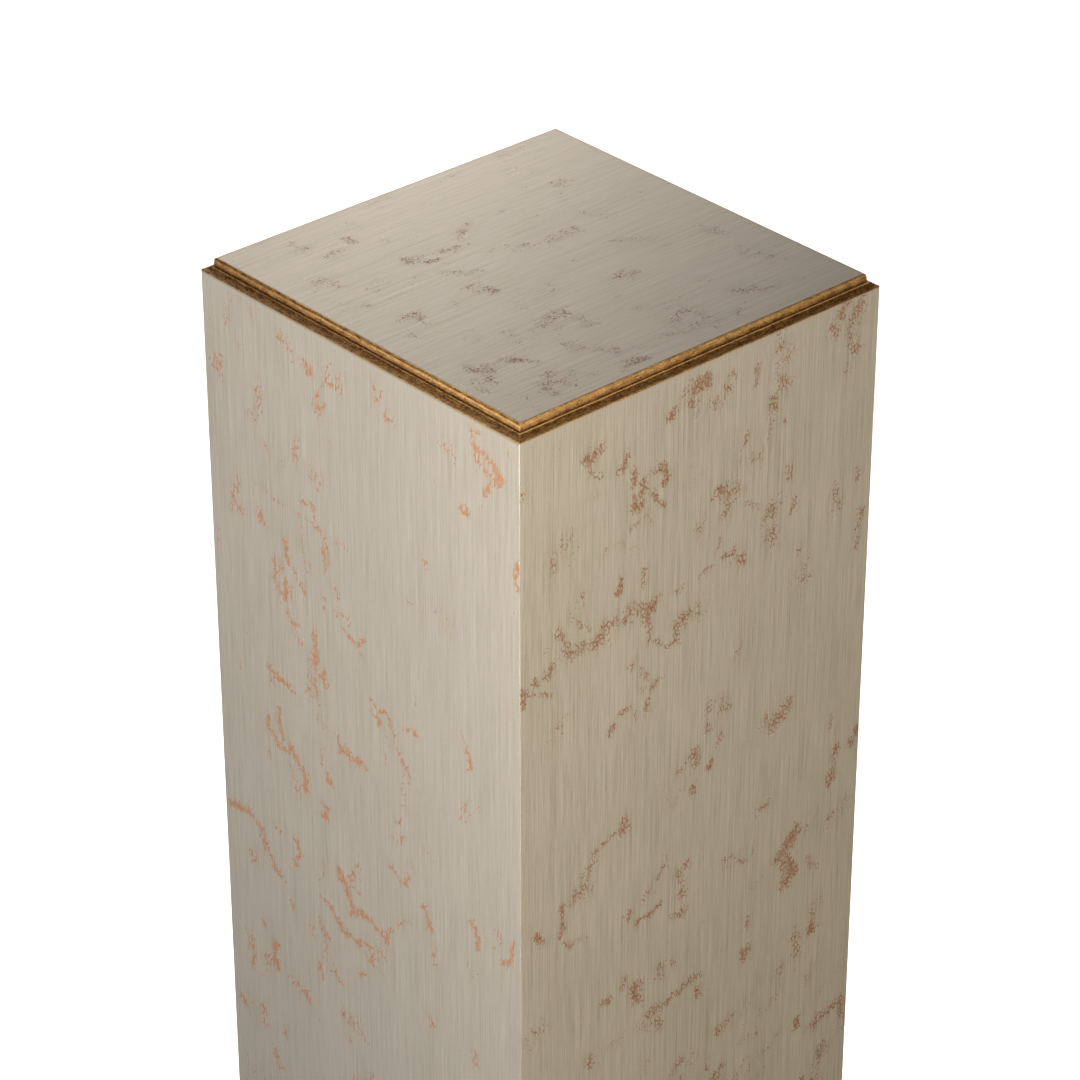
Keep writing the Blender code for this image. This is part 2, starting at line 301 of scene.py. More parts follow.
RIGHT_TRAILS = (
    (3, 1.3, (673, 412), (671, 417)), (5, 1.3, (707, 379), (701, 384), (695, 388)),
    (4, 0.9, (685, 394), (691, 402), (696, 404)), (6, 0.7, (712, 402), (722, 398)),
    (3, 0.7, (696, 408), (698, 414)), (3, 1.0, (733, 374), (735, 378)), (3, 1.0, (727, 387), (730, 390)),
    (3, 0.8, (759, 366), (756, 384)), (8, 0.8, (781, 346), (787, 356)), (8, 0.7, (781, 378), (785, 390)),
    (4, 1.0, (773, 398), (775, 410)), (6, 1.0, (845, 306), (843, 312)), (5, 1.0, (834, 328), (836, 334)),
    (7, 1.0, (859, 306), (855, 318)), (5, 0.9, (851, 340), (855, 350)), (3, 0.7, (848, 362), (847, 372)),
    (2.5, 1.2, (747, 434), (746, 444)), (3, 0.7, (743, 462), (759, 458), (765, 450)),
    (2.5, 0.7, (775, 418), (769, 436), (763, 452)), (2, 0.9, (784, 421), (786, 423)),
    (4, 1.1, (589, 458), (602, 448)), (3.5, 1.4, (587, 458), (589, 460)),
    (2, 1.0, (584, 464), (591, 472), (599, 477)), (4, 1.0, (626, 456), (623, 470)),
    (2.5, 1.1, (635, 468), (633, 486)), (2.5, 1.2, (665, 466), (666, 482)),
    (4, 0.8, (659, 470), (653, 474)), (3, 1.1, (643, 482), (645, 488), (640, 496)),
    (3, 1.1, (653, 492), (659, 500), (663, 505)), (3.5, 1.3, (635, 508), (641, 506)),
    (2, 1.0, (633, 497), (634, 500)), (6, 0.6, (651, 510), (652, 516)), (2, 1.0, (637, 523), (629, 530)),
    (2, 0.7, (615, 544), (633, 548)), (2, 0.6, (603, 556), (611, 544)),
    (5, 1.0, (717, 492), (731, 494), (737, 492)), (4, 0.9, (731, 500), (725, 514)),
    (2.5, 0.8, (745, 504), (757, 507)), (5, 1.0, (773, 504), (769, 514)), (3, 0.9, (795, 500), (791, 512)),
    (7, 0.7, (769, 528), (773, 540)), (7, 0.6, (702, 526), (705, 532)), (4, 0.8, (788, 470), (790, 475)),
    (7, 0.7, (837, 486), (835, 506)), (3, 1.0, (859, 472), (858, 478)),
    (3, 0.9, (863, 508), (858, 526), (855, 546)), (4, 1.0, (740, 558), (742, 563)),
    (2, 0.8, (731, 552), (711, 568), (699, 576)), (2, 0.7, (687, 584), (677, 592)),
    (7, 0.7, (805, 570), (803, 580)), (2.5, 1.3, (622, 578), (619, 592)),
    (2.5, 0.8, (647, 570), (643, 586)), (4.5, 1.2, (657, 600), (651, 608), (639, 610)),
    (6, 0.8, (627, 608), (629, 612)), (7, 0.7, (694, 608), (697, 614)),
    (3, 1.0, (644, 613), (648, 627), (651, 639)), (2, 0.9, (651, 639), (664, 645), (669, 644)),
    (3, 1.2, (669, 644), (677, 640)), (2.5, 1.0, (631, 609), (624, 623)),
    (4.5, 1.1, (615, 620), (605, 628), (598, 641)),
    (4, 1.0, (598, 641), (589, 644), (577, 653), (565, 651)), (2.5, 0.8, (565, 651), (559, 658)),
    (3, 0.8, (577, 621), (580, 627)), (3, 0.8, (586, 628), (590, 630)), (2, 1.0, (561, 635), (568, 644)),
    (3.5, 1.1, (551, 668), (549, 674)), (3, 1.2, (537, 680), (537, 682)),
    (5, 1.0, (683, 618), (679, 630), (674, 623)), (2.5, 0.9, (634, 660), (632, 667)),
    (4, 0.8, (641, 672), (644, 678), (650, 686), (658, 682)), (4, 1.2, (523, 694), (524, 702)),
    (2, 0.9, (533, 696), (551, 695)), (3.5, 1.2, (647, 705), (648, 709)),
    (2.5, 1.1, (621, 711), (627, 709)), (2.5, 1.0, (635, 713), (636, 717)),
    (3, 1.2, (615, 728), (611, 732)), (2, 1.0, (608, 736), (608, 738)), (4, 0.8, (709, 706), (708, 711)),
    (5, 0.9, (723, 700), (723, 708)), (3.5, 0.9, (708, 724), (709, 728)), (3, 0.9, (721, 732), (718, 742)),
    (4, 1.0, (695, 752), (697, 764)), (3, 1.3, (709, 767), (712, 760)), (4, 0.8, (685, 764), (679, 772)),
    (3, 1.1, (693, 786), (693, 790)), (6, 1.0, (787, 706), (781, 716), (770, 726)),
    (3, 0.9, (767, 715), (768, 719)), (2.5, 0.9, (831, 716), (831, 726)),
    (3.5, 1.2, (857, 728), (857, 732)), (4, 0.9, (849, 740), (849, 745)),
    (4, 0.9, (835, 748), (833, 764), (829, 786)), (3, 1.0, (767, 806), (758, 808)),
    (4, 1.2, (624, 821), (624, 827)), (3, 1.0, (615, 834), (603, 844), (593, 854)),
    (5, 0.9, (591, 864), (585, 876), (583, 890), (575, 898)), (3, 0.9, (593, 886), (593, 891)),
    (2.5, 1.2, (563, 908), (563, 926), (561, 935)), (3, 1.3, (535, 937), (541, 942)),
    (2, 0.9, (565, 940), (572, 945), (581, 938), (589, 936)),
    (2.5, 1.1, (659, 906), (651, 912), (637, 924)), (3, 1.1, (687, 862), (687, 866)),
    (4.5, 1.0, (679, 874), (680, 880)), (4, 0.9, (681, 890), (682, 895)),
    (4.5, 0.9, (683, 912), (675, 916)), (3.5, 0.8, (667, 860), (655, 882)),
    (3.5, 0.7, (643, 898), (655, 890)), (3.5, 0.8, (630, 912), (627, 924)),
    (5, 1.2, (795, 832), (789, 844), (779, 858)), (5, 1.3, (785, 862), (793, 870), (785, 882)),
    (3.5, 0.8, (807, 860), (815, 866)), (3.5, 0.7, (755, 848), (747, 860), (723, 860)),
    (4.5, 1.3, (812, 923), (812, 929)), (6, 0.7, (795, 934), (799, 952)), (6, 0.7, (815, 905), (815, 911)),
    (4, 0.8, (779, 970), (780, 975)), (4, 1.1, (744, 950), (745, 958)), (3.5, 0.8, (747, 920), (747, 925)),
    (3.5, 0.9, (673, 960), (673, 965)), (5, 0.8, (661, 968), (662, 973)), (5, 1.2, (635, 988), (638, 1000)),
    (2.5, 1.0, (625, 976), (624, 988)), (3.5, 1.1, (605, 1001), (608, 1001)),
    (4, 1.0, (695, 976), (681, 988), (671, 996), (659, 1008), (645, 1018)),
    (4, 1.0, (698, 990), (698, 995)), (5, 0.8, (661, 1022), (645, 1024)),
    (5, 0.9, (719, 1030), (731, 1020)), (3.5, 1.1, (799, 1018), (797, 1026)),
    (5, 1.0, (813, 1026), (819, 1016), (835, 1006)), (7, 0.8, (841, 1016), (841, 1021)),
    (5, 0.9, (706, 1066), (707, 1072)), (5, 0.9, (589, 1060), (592, 1065)),
)
TOP_TRAILS = (
    (5, 0.9, (613, 278), (627, 274), (633, 272)), (4, 1.1, (745, 292), (753, 288)),
    (5, 0.7, (735, 290), (769, 286)), (5, 0.9, (539, 328), (549, 318), (559, 312), (579, 318), (591, 324)),
    (4, 0.7, (517, 342), (531, 340)), (5, 0.8, (565, 344), (577, 348), (595, 348), (615, 350)),
    (3, 1.2, (514, 360), (520, 360)), (3.5, 0.8, (520, 360), (533, 362)),
    (4, 1.0, (625, 368), (635, 360), (643, 358)), (5, 1.0, (545, 376), (551, 372), (547, 390), (555, 394)),
    (5, 0.9, (571, 384), (567, 378)), (6, 0.8, (675, 320), (687, 308), (703, 316), (691, 328)),
    (3, 1.0, (712, 326), (714, 326)), (3.5, 0.9, (738, 312), (740, 314)), (3, 0.7, (535, 408), (541, 412)),
    (5, 0.7, (315, 290), (321, 280), (343, 284)), (4, 0.8, (371, 288), (377, 291)),
    (3, 0.8, (453, 301), (454, 305)), (5, 1.0, (405, 318), (415, 314), (421, 320)),
    (3.5, 0.9, (409, 334), (415, 336)), (4, 1.0, (477, 288), (485, 290), (499, 292)),
    (4, 1.2, (469, 368), (475, 370)), (7, 0.9, (483, 380), (491, 370)), (5, 0.8, (465, 394), (483, 390)),
    (3.5, 1.1, (507, 360), (514, 358)), (5, 0.7, (510, 332), (513, 336)),
    (3.5, 1.0, (347, 238), (354, 241)), (5, 0.8, (329, 256), (339, 250)), (3, 0.8, (385, 241), (388, 241)),
    (5, 0.8, (291, 246), (303, 250)), (5, 0.8, (319, 281), (337, 281)), (5, 1.1, (410, 260), (434, 260)),
    (4, 1.1, (440, 252), (454, 248)), (4.5, 0.9, (460, 238), (470, 224)),
    (3.5, 0.9, (446, 274), (460, 270)), (3.5, 0.9, (468, 274), (478, 270)),
    (5, 0.8, (473, 287), (476, 290)), (6, 0.8, (556, 183), (563, 183)), (5, 0.6, (584, 214), (612, 214)),
    (5, 0.8, (517, 248), (551, 240), (575, 230)), (6, 0.6, (612, 242), (648, 237)),
    (5, 0.8, (704, 229), (724, 232)), (6, 0.7, (740, 250), (781, 257)), (5, 0.8, (618, 275), (626, 275)),
)


class Nodes:
    """A material's nodes, added and joined in the order that they are worked out."""

    def __init__(self, name):
        self.material = bpy.data.materials.new(name)
        self.material.use_nodes = True
        self.tree = self.material.node_tree
        self.shader = self.tree.nodes["Principled BSDF"]

    def feed(self, socket, value):
        """Joins an output to a socket, or sets the socket to a plain value."""
        if isinstance(value, bpy.types.NodeSocket):
            self.tree.links.new(value, socket)
        else:
            socket.default_value = value

    def attribute(self, name, output="Fac"):
        node = self.tree.nodes.new("ShaderNodeAttribute")
        node.attribute_name = name
        return node.outputs[output]

    def maths(self, operation, first, second=0.0, clamp=False):
        node = self.tree.nodes.new("ShaderNodeMath")
        node.operation = operation
        node.use_clamp = clamp
        self.feed(node.inputs[0], first)
        self.feed(node.inputs[1], second)
        return node.outputs[0]

    def total(self, *values):
        result = values[0]
        for value in values[1:]:
            result = self.maths("ADD", result, value)
        return result

    def times(self, first, second):
        return self.maths("MULTIPLY", first, second)

    def part(self, vector, axis):
        node = self.tree.nodes.new("ShaderNodeSeparateXYZ")
        self.feed(node.inputs[0], vector)
        return node.outputs[axis]

    def cells(self, vector, across, along, lean=0.0):
        """The place measured in cells of that size in metres, turned by lean degrees."""
        node = self.tree.nodes.new("ShaderNodeMapping")
        node.vector_type = "TEXTURE"
        self.feed(node.inputs["Vector"], vector)
        node.inputs["Rotation"].default_value = (0.0, 0.0, math.radians(lean))
        node.inputs["Scale"].default_value = (across, along, 1.0)
        return node.outputs[0]

    def noise(self, vector, detail=2.0, roughness=0.5, output="Fac"):
        node = self.tree.nodes.new("ShaderNodeTexNoise")
        self.feed(node.inputs["Vector"], vector)
        node.inputs["Scale"].default_value = 1.0
        node.inputs["Detail"].default_value = detail
        node.inputs["Roughness"].default_value = roughness
        return node.outputs[output]

    def cracks(self, vector):
        """How far each place is from the nearest line of an angular net, in cells."""
        node = self.tree.nodes.new("ShaderNodeTexVoronoi")
        node.voronoi_dimensions = "2D"
        node.feature = "DISTANCE_TO_EDGE"
        self.feed(node.inputs["Vector"], vector)
        node.inputs["Scale"].default_value = 1.0
        return node.outputs["Distance"]

    def crumpled(self, vector, amount):
        """The same place shifted about by no more than the amount, in cells."""
        shift = self.tree.nodes.new("ShaderNodeVectorMath")
        shift.operation = "MULTIPLY_ADD"
        self.feed(shift.inputs[0], self.noise(vector, detail=1.0, output="Color"))
        shift.inputs[1].default_value = (amount, amount, 0.0)
        self.feed(shift.inputs[2], vector)
        return shift.outputs[0]

    def swing(self, vector, amount, detail=2.0):
        """A noise round 0 that reaches about the amount either way."""
        centred = self.maths("SUBTRACT", self.noise(vector, detail), 0.5)
        return self.times(centred, 2.0 * amount)

    def between(self, value, low, high):
        """0 at low and 1 at high, eased between them and level beyond. Low may be the larger."""
        node = self.tree.nodes.new("ShaderNodeMapRange")
        node.interpolation_type = "SMOOTHSTEP"
        self.feed(node.inputs["Value"], value)
        self.feed(node.inputs["From Min"], low)
        self.feed(node.inputs["From Max"], high)
        return node.outputs[0]

    def mix(self, share, first, second):
        """Two colours mixed. The node's sockets for colours are its inputs 6 and 7 and its output 2."""
        node = self.tree.nodes.new("ShaderNodeMix")
        node.data_type = "RGBA"
        self.feed(node.inputs["Factor"], share)
        self.feed(node.inputs[6], rgba(first))
        self.feed(node.inputs[7], rgba(second))
        return node.outputs[2]

    def shaded(self, colour, tone):
        """The colour times a grey tone."""
        node = self.tree.nodes.new("ShaderNodeVectorMath")
        node.operation = "SCALE"
        self.feed(node.inputs[0], colour)
        self.feed(node.inputs["Scale"], tone)
        return node.outputs[0]

    def bump(self, height, depth, strength):
        node = self.tree.nodes.new("ShaderNodeBump")
        node.inputs["Strength"].default_value = strength
        node.inputs["Distance"].default_value = depth
        self.feed(node.inputs["Height"], height)
        return node.outputs[0]

    def finish(self, colour, roughness, metallic, normal):
        inputs = self.shader.inputs
        self.feed(inputs["Base Color"], colour)
        self.feed(inputs["Roughness"], roughness)
        self.feed(inputs["Metallic"], metallic)
        self.feed(inputs["Normal"], normal)
        return self.material


def rgba(colour):
    """A plain colour with its alpha, or an output as it is."""
    if isinstance(colour, tuple):
        return (*colour, 1.0)
    return colour


def brush_marks(nodes, place, boldness):
    """Brightness round 1 of the brushed leaf."""
    tone = 1.0
    for across, along, lean, amount in BRUSH_MARKS:
        mark = nodes.swing(nodes.cells(place, across, along, lean), amount * boldness, 1.0)
        tone = nodes.maths("ADD", tone, mark)
    return tone


def leaf_flecks(nodes, place, rub, cell, stretch, lean):
    """Where the leaf has come away from the clay.

    Rubbing cracks it in broken angular lines and, where it is strongest, takes whole pieces off. The narrow
    trails also wear through as strokes.
    """
    def uneven(size, amount, turned=0.0):
        return nodes.swing(nodes.cells(place, size * cell, size * cell * stretch, turned), amount)

    net = nodes.crumpled(nodes.cells(place, cell, cell * stretch, lean), NET_CRUMPLING)
    ragged = nodes.swing(nodes.cells(place, 0.7 * MM, 0.8 * MM * stretch), 0.1, 1.0)
    breaks = uneven(0.6, 0.3)
    thickness = nodes.total(rub, -FIRST_CRACKS, ragged, breaks, uneven(2.5, 0.32))
    thickness = nodes.maths("MINIMUM", thickness, THICKEST_CRACK)
    cracked = nodes.between(nodes.maths("SUBTRACT", thickness, nodes.cracks(net)), -CRACK_BLUR, CRACK_BLUR)
    inside = nodes.total(nodes.attribute("stroke"), nodes.times(breaks, 3.5), nodes.times(ragged, 12.0))
    stroked = nodes.between(inside, -0.2, 0.3)
    solid = nodes.between(nodes.total(rub, -FIRST_SOLID, uneven(0.3, 0.5, lean)), -0.01, 0.05)
    return nodes.maths("MAXIMUM", nodes.maths("MAXIMUM", cracked, stroked), solid)


def silver_material(name, silver, clay, stain, boldness, toning, grime_and_rim_shadow, breakage, cell, stretch, lean):
    """Toned silver leaf, brushed along the boards and rubbed through to clay in flecks.

    Boldness is of the brush marks and toning of the brown wash; the next number darkens a thin line under the
    moulding with dirt and painted shadow.
    Breakage is how much of the rubbing cracks the leaf, in cells stretch times as long as wide.
    """
    nodes = Nodes(name)
    place = nodes.attribute("place", "Vector")
    rub = nodes.attribute("rub")
    wash = nodes.between(nodes.noise(nodes.cells(place, 5 * MM, 400 * MM)), 0.35, 0.7)
    leaf = nodes.mix(nodes.times(wash, toning), silver, WASH)
    smears = nodes.between(nodes.noise(nodes.cells(place, 3 * MM, 14 * MM), 3.0), 0.40, 0.75)
    leaf = nodes.mix(nodes.times(nodes.times(rub, smears), 0.65), leaf, stain)
    tone = brush_marks(nodes, place, boldness)
    leaf = nodes.mix(nodes.maths("SUBTRACT", 1.0, tone, clamp=True), leaf, WAX)
    leaf = nodes.shaded(leaf, tone)
    # dirt and painted shadow in a thin line under the moulding
    under_rim_dirt_and_shadow = nodes.between(nodes.maths("ABSOLUTE", nodes.part(place, "Y")), 1.6 * MM, 0.8 * MM)
    leaf = nodes.mix(nodes.times(under_rim_dirt_and_shadow, grime_and_rim_shadow), leaf, STAIN_AND_RIM_SHADOW)
    # pale rubbed corners with a painted highlight under the moulding
    leaf = nodes.mix(arris_wear_and_highlight(nodes, place), leaf, ARRIS_WEAR_AND_HIGHLIGHT)
    flecks = leaf_flecks(nodes, place, nodes.times(rub, breakage), cell, stretch, lean)
    cover = nodes.between(nodes.noise(nodes.cells(place, 1.6 * MM, 4 * MM)), 0.3, 0.65)
    flecks = nodes.times(flecks, nodes.maths("ADD", nodes.times(cover, 0.5), 0.5))
    colour = nodes.mix(flecks, leaf, clay)
    uneven_gloss = nodes.swing(nodes.cells(place, 3 * MM, 90 * MM), 0.03)
    roughness = nodes.total(LEAF_ROUGHNESS, uneven_gloss, nodes.times(flecks, 0.15))
    metallic = nodes.times(nodes.maths("SUBTRACT", 1.0, flecks), METALLIC)
    height = nodes.total(tone, nodes.times(flecks, -0.4))
    return nodes.finish(colour, roughness, metallic, nodes.bump(height, FINISH_DEPTH, 0.2))


def arris_wear_and_highlight(nodes, place):
    """A pale rubbed line down the upright corners, uneven in width, with a painted highlight that makes it
    strongest under the moulding.
    """
    across = nodes.maths("ABSOLUTE", nodes.part(place, "X"))
    down = nodes.part(place, "Y")
    from_corner = nodes.maths("SUBTRACT", HALF_WIDTH, across)
    ragged = nodes.swing(nodes.cells(place, 4 * MM, 25 * MM), 0.5 * MM)
    line = nodes.between(nodes.total(from_corner, ragged), 1.0 * MM, 0.2 * MM)
    # painted highlight: the line is strongest under the moulding
    strength = nodes.total(0.08, nodes.times(nodes.between(down, 60 * MM, 10 * MM), 0.7))
    return nodes.times(line, strength)


def gilt_material():
    """Gilt rubbed bright on the crests, with dark wax deepening into the recesses, and painted highlights and
    painted shade carried in by the profile's brightness.
    """
    nodes = Nodes("antique_gilt")
    place = nodes.attribute("place", "Vector")
    # the gilt's tone, which also holds painted highlights and painted shade
    gilt_tone_and_light = nodes.attribute("gilt_tone_and_light")
    blotches = nodes.swing(nodes.cells(place, 2.5 * MM, 7 * MM), 0.5)
    speckle = nodes.swing(nodes.cells(place, 1.1 * MM, 2.0 * MM), 0.6)
    streaks = nodes.swing(nodes.cells(place, 0.5 * MM, 25 * MM), 0.35)
    uneven = nodes.total(blotches, speckle, streaks)
    swayed = nodes.total(gilt_tone_and_light, nodes.times(uneven, nodes.total(gilt_tone_and_light, 0.55)))
    bright = nodes.maths("MAXIMUM", nodes.maths("MINIMUM", swayed, 1.15), 0.0)
    # dark wax and painted shade where the gilt's tone is low
    colour = nodes.mix(bright, PATINA_AND_SHADE, GOLD)
    # pale rubbed gold and painted highlight where the gilt is brightest
    rub_and_glint = nodes.between(nodes.total(gilt_tone_and_light, speckle, blotches), 1.0, 1.35)
    colour = nodes.mix(nodes.times(rub_and_glint, 0.6), colour, GOLD_RUB_AND_GLINT)
    roughness = nodes.total(GILT_ROUGHNESS, nodes.times(bright, -0.25), nodes.times(speckle, 0.2))
    normal = nodes.bump(nodes.total(speckle, blotches), FINISH_DEPTH, 0.4)
    nodes.shader.inputs["Specular IOR Level"].default_value = GILT_SPECULAR
    return nodes.finish(colour, roughness, METALLIC, normal)


def bare_wood_material():
    """Unfinished board on the inside of the box, with faint fibres."""
    nodes = Nodes("bare_wood")
    place = nodes.attribute("place", "Vector")
    fibres = nodes.noise(nodes.cells(place, 1.5 * MM, 12 * MM), 4.0, 0.6)
    clouds = nodes.swing(nodes.cells(place, 40 * MM, 90 * MM), 0.2)
    colour = nodes.mix(nodes.between(fibres, 0.3, 0.7), BARE_WOOD, BARE_WOOD_DARK)
    colour = nodes.shaded(colour, nodes.total(1.0, clouds))
    return nodes.finish(colour, 0.75, 0.0, nodes.bump(fibres, 0.1 * MM, 0.4))


def floor_material():
    """A plain matt floor."""
    nodes = Nodes("floor")
    grain = nodes.noise(nodes.cells(nodes.attribute("place", "Vector"), 0.5, 0.5))
    colour = nodes.shaded(FLOOR, nodes.maths("ADD", 0.99, nodes.times(grain, 0.02)))
    return nodes.finish(colour, 0.8, 0.0, nodes.bump(grain, 0.1 * MM, 0.1))


def curved_points(start, end, steps, point_at):
    """Points of point_at(value) from start to end, both ends included."""
    return [point_at(start + (end - start) * step / steps) for step in range(steps + 1)]


def even_points(low, high, step):
    """Evenly spaced values from low to high, about a step apart."""
    count = round((high - low) / step)
    return [low + (high - low) * place / count for place in range(count + 1)]


def solid_from_rings(name, rings):
    """A closed mesh: rings of points, each joined to the next, with a flat cap at both ends."""
    count = len(rings[0])
    points = [point for ring in rings for point in ring]
    faces = []
    for level in range(len(rings) - 1):
        low = level * count
        high = low + count
        for step in range(count):
            after = (step + 1) % count
            faces.append((low + step, low + after, high + after, high + step))
    last = len(points) - count
    faces.append(tuple(reversed(range(count))))
    faces.append(tuple(range(last, last + count)))
    mesh = bpy.data.meshes.new(name)
    mesh.from_pydata(points, [], faces)
    return mesh


def points_of(mesh):
    """The mesh's points as rows of x, y and z."""
    flat = np.empty(3 * len(mesh.vertices))
    mesh.vertices.foreach_get("co", flat)
    return flat.reshape(-1, 3)


def set_number(mesh, name, values):
    """A number on every point, for the material to read."""
    attribute = mesh.attributes.new(name, "FLOAT", "POINT")
    attribute.data.foreach_set("value", np.asarray(values, dtype=np.float32))


def set_place(mesh, across, along, seed):
    """Where each point lies on its own surface, so that brush marks follow the piece."""
    attribute = mesh.attributes.new("place", "FLOAT_VECTOR", "POINT")
    rows = np.column_stack((across, along, np.full(len(across), PATTERN_STEP * seed)))
    attribute.data.foreach_set("vector", rows.astype(np.float32).ravel())


def distance_to_run(across, along, start, end):
    """How far each place is from the straight run between two points."""
    run = np.array(end) - np.array(start)
    offset = np.column_stack((across - start[0], along - start[1]))
    share = np.clip(offset @ run / max(run @ run, SHORTEST_RUN), 0.0, 1.0)
    return np.linalg.norm(offset - share[:, None] * run, axis=1)


def add_rubbing(mesh, across, along, trails, fullness):
    """Gives each point how hard it is rubbed, from 0 to about 1, and its millimetres inside a stroke."""
    noise.seed_set(RAGGED_SEED)
    places = [Vector((x, y, 0.0)) / RAGGED_STEP for x, y in zip(across, along)]
    shift = RAGGED_REACH * np.array([noise.noise_vector(place) for place in places])
    across = across + shift[:, 0]
    along = along + shift[:, 1]
    rub = np.zeros(len(across))
    stroke = np.full(len(across), -FAR_FROM_STROKES)
    for width, strength, *route in trails:
        half_width = (fullness * width * strength - STROKE_THINNING) * MM
        for start, end in zip(route, route[1:]):
            away = distance_to_run(across, along, start, end)
            rub = np.maximum(rub, strength * np.exp(-(away / (NET_REACH * width * MM)) ** 2))
            if width < NARROW_TRAIL:
                stroke = np.maximum(stroke, half_width - away)
    set_number(mesh, "rub", rub)
    set_number(mesh, "stroke", stroke / MM)


def camera_ray(x, y):
    """The way the camera looks through a place in the photograph."""
    focal = CAMERA_LENS / CAMERA_SENSOR * PICTURE
    ray = Vector((x - PICTURE / 2, PICTURE / 2 - y, -focal))
    ray.rotate(Matrix.Rotation(CAMERA_YAW, 3, "Z") @ Matrix.Rotation(math.pi / 2 - CAMERA_TILT, 3, "X"))
    return ray


def trails_on_face(trails, axis, level, across_axis, along_axis, sign):
    """The trails carried from the photograph onto a face, as places across and along it.

    The face is the plane at that level of an axis. All is measured from the centre of the rim.
    """
    carried = []
    for width, strength, *route in trails:
        places = []
        for x, y in route:
            ray = camera_ray(x, y)
            point = CAMERA_OFFSET + ray * ((level - CAMERA_OFFSET[axis]) / ray[axis])
            places.append((point[across_axis], sign * point[along_axis]))
        carried.append((width, strength, *places))
    return carried


def scattered_trails(seed, count, reach, lean, strength):
    """Short trails in random places of a face."""
    chance = np.random.RandomState(seed)
    low_across, high_across, low_along, high_along = reach
    trails = []
    for _ in range(count):
        across = chance.uniform(low_across, high_across)
        along = chance.uniform(low_along, high_along)
        angle = math.radians(chance.normal(lean, SCATTER_SPREAD))
        length = chance.uniform(*SCATTER_LENGTHS)
        end = (across + length * math.sin(angle), along + length * math.cos(angle))
        width = chance.uniform(*SCATTER_WIDTHS)
        trails.append((width, strength * chance.uniform(*SCATTER_STRENGTHS), (across, along), end))
    return trails


def make_piece(name, mesh, materials, nodes):
    """A finished piece that stands for its CAD node."""
    for material in materials:
        mesh.materials.append(material)
    mesh.shade_smooth()
    mesh.set_sharp_from_angle(angle=math.radians(SMOOTH_ANGLE))
    piece = bpy.data.objects.new(name, mesh)
    bpy.context.scene.collection.objects.link(piece)
    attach(piece, "root")
    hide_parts(*nodes)


def side_outline(inset):
    """A side seen from above: its outer face from left to right, set in by the inset, then its inner face."""
    half = HALF_WIDTH - inset

    def corner(angle):
        return (
            half - CORNER_RADIUS + CORNER_RADIUS * math.cos(angle),
            CORNER_RADIUS - half + CORNER_RADIUS * math.sin(angle),
        )

    right_corner = curved_points(-math.pi / 2, -math.pi / 4, CORNER_STEPS, corner)
    left_corner = [(-x, y) for x, y in reversed(right_corner)]
    face = [(x, -half) for x in even_points(CORNER_RADIUS - half, half - CORNER_RADIUS, GRID_ACROSS)]
    inner = HALF_WIDTH - SIDE_THICKNESS
    return left_corner + face[1:-1] + right_corner + [(inner, -inner), (-inner, -inner)]


def side_mesh(name):
    """A side board, standing on the floor in the front's place. Its second material is bare wood."""
    outline = side_outline(0.0)
    rings = [[(x, y, 0.0) for x, y in side_outline(EDGE_SOFTNESS)]]
    for level in even_points(EDGE_SOFTNESS, RIM_LEVEL, GRID_DOWN):
        rings.append([(x, y, level) for x, y in outline])
    mesh = solid_from_rings(name, rings)
    leafed_strips = len(outline) - 3  # all but the two mitres and the inner face
    caps = [True, True]
    bare = [step % len(outline) >= leafed_strips for step in range(len(mesh.polygons) - len(caps))] + caps
    mesh.polygons.foreach_set("material_index", np.array(bare, dtype=np.int32))
    return mesh


def add_side(turn, trails, fullness, leaf, bare):
    """One side board with its own wear, turned into its place."""
    side = SIDES[turn]
    mesh = side_mesh(side + "_side")
    points = points_of(mesh)
    across = points[:, 0]
    down = RIM_LEVEL - points[:, 2]
    set_place(mesh, across, down, turn)
    add_rubbing(mesh, across, down, trails, fullness)
    mesh.transform(Matrix.Rotation(turn * math.pi / 2, 4, "Z"))
    make_piece(side + "_side", mesh, (leaf, bare), [side + "_panel"])


def add_display_top(trails, leaf, bare):
    """The display surface on a fine grid, with its edge, shoulder and tongue grown out below it."""
    face_half = BOARD_HALF - EDGE_SOFTNESS
    tongue_half = HALF_WIDTH - SIDE_THICKNESS
    segments = round(2 * face_half / TOP_GRID)
    work = bmesh.new()
    bmesh.ops.create_grid(work, x_segments=segments, y_segments=segments, size=face_half)
    bmesh.ops.translate(work, vec=(0.0, 0.0, TOP_LEVEL), verts=work.verts)
    border = [edge for edge in work.edges if edge.is_boundary]
    half = face_half
    for new_half, level in (
        (BOARD_HALF, TOP_LEVEL - EDGE_SOFTNESS),
        (BOARD_HALF, RIM_LEVEL),
        (tongue_half, RIM_LEVEL),
        (tongue_half, BOARD_UNDERSIDE),
    ):
        grown = bmesh.ops.extrude_edge_only(work, edges=border)["geom"]
        for vertex in (item for item in grown if isinstance(item, bmesh.types.BMVert)):
            vertex.co.x *= new_half / half
            vertex.co.y *= new_half / half
            vertex.co.z = level
        border = [item for item in grown if isinstance(item, bmesh.types.BMEdge) and item.is_boundary]
        half = new_half
    bmesh.ops.edgeloop_fill(work, edges=border)
    bmesh.ops.recalc_face_normals(work, faces=work.faces)
    for face in work.faces:
        face.material_index = int(face.calc_center_median().z < RIM_LEVEL + EDGE_SOFTNESS)
    mesh = bpy.data.meshes.new("display_top")
    work.to_mesh(mesh)
    work.free()
    points = points_of(mesh)
    set_place(mesh, points[:, 0], points[:, 1], len(SIDES))
    add_rubbing(mesh, points[:, 0], points[:, 1], trails, BROWN_STROKES)
    make_piece("display_top", mesh, (leaf, bare), ["top_panel"])


